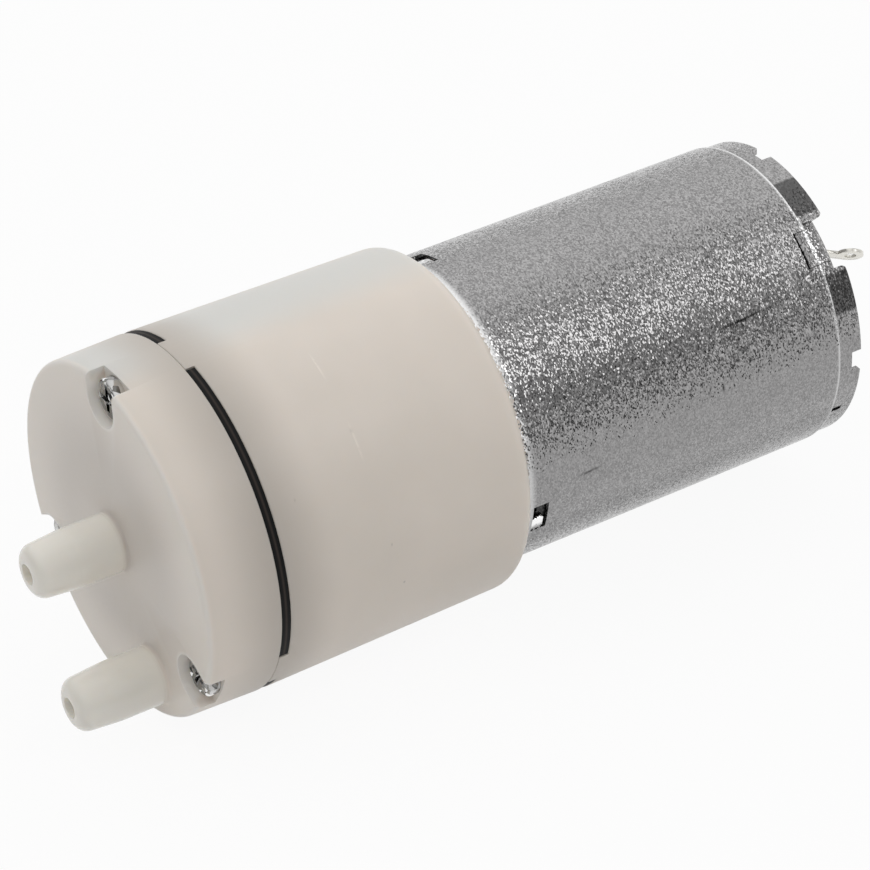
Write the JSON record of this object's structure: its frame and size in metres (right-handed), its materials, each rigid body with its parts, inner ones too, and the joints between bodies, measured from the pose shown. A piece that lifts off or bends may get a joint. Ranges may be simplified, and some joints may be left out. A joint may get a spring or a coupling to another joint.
{
  "type": "mini diaphragm pump",
  "caption": "Small round diaphragm pump head with two hose nozzles, screwed to the front of a cylindrical motor with two solder terminals.",
  "frame": {"origin": "on the shaft axis, in the middle of the motor can's plain cylinder, where a clip or cradle holds the motor", "axes": "+X along the shaft towards the motor terminals, so the two nozzles point to -X; +Z through the first head screw"},
  "size_m": [0.0687, 0.0274, 0.0274],
  "materials": {
    "cover_plastic": "milky off-white moulded plastic, slightly translucent",
    "casing_plastic": "milky off-white moulded plastic, slightly translucent",
    "inner_plastic": "moulded plastic",
    "running_plastic": "low-friction acetal",
    "black_rubber": "black synthetic rubber",
    "screw_steel": "nickel-plated steel",
    "plated_can": "satin zinc-plated deep-drawn steel",
    "sintered_bronze": "oil-soaked sintered bronze",
    "ferrite": "sintered ferrite",
    "spring_steel": "bright ground steel",
    "lamination_steel": "stacked electrical steel",
    "enamelled_copper": "enamelled copper wire",
    "motor_plastic": "black glass-filled nylon",
    "bare_copper": "bare copper alloy",
    "carbon": "pressed carbon",
    "tinned_brass": "tinned brass strip"
  },
  "bodies": {
    "pump_body": {"front_cover": "cover_plastic", "valve_plate": "inner_plastic", "inlet_valve_1": "black_rubber", "inlet_valve_2": "black_rubber", "inlet_valve_3": "black_rubber", "outlet_valve": "black_rubber", "diaphragm": "black_rubber", "diaphragm_seat": "inner_plastic", "pump_casing": "casing_plastic", "head_screws": "screw_steel", "motor_screws": "screw_steel", "motor_can": "plated_can", "end_plate": "plated_can", "front_bearing": "sintered_bronze", "rear_bearing": "sintered_bronze", "magnet_1": "ferrite", "magnet_2": "ferrite", "magnet_spring_1": "spring_steel", "magnet_spring_2": "spring_steel", "brush_holder": "motor_plastic", "brush_arm_1": "bare_copper", "brush_arm_2": "bare_copper", "brush_1": "carbon", "brush_2": "carbon", "terminal_1": "tinned_brass", "terminal_2": "tinned_brass"},
    "rotor": {"motor_shaft": "spring_steel", "rotor_core": "lamination_steel", "winding_1": "enamelled_copper", "winding_2": "enamelled_copper", "winding_3": "enamelled_copper", "commutator_sleeve": "motor_plastic", "commutator_segment_1": "bare_copper", "commutator_segment_2": "bare_copper", "commutator_segment_3": "bare_copper", "front_shaft_washer": "motor_plastic", "rear_shaft_washer": "motor_plastic", "eccentric_wheel": "running_plastic", "crank_pin": "spring_steel"},
    "swing_frame": {"swing_frame": "running_plastic"}
  },
  "joints": [
    {"name": "rotor_spin", "type": "hinge", "parent": "pump_body", "child": "rotor", "pos_m": [0, 0, 0], "axis": [1, 0, 0], "continuous": true, "deforming": ["diaphragm"]},
    {"name": "frame_on_pin", "type": "hinge", "parent": "rotor", "child": "swing_frame", "pos_m": [-0.0296, 0, 0], "axis": [0.9848, 0, -0.1736], "continuous": true}
  ],
  "couplings": [
    {"joint": "frame_on_pin", "follows": "rotor_spin", "ratio": -1}
  ]
}
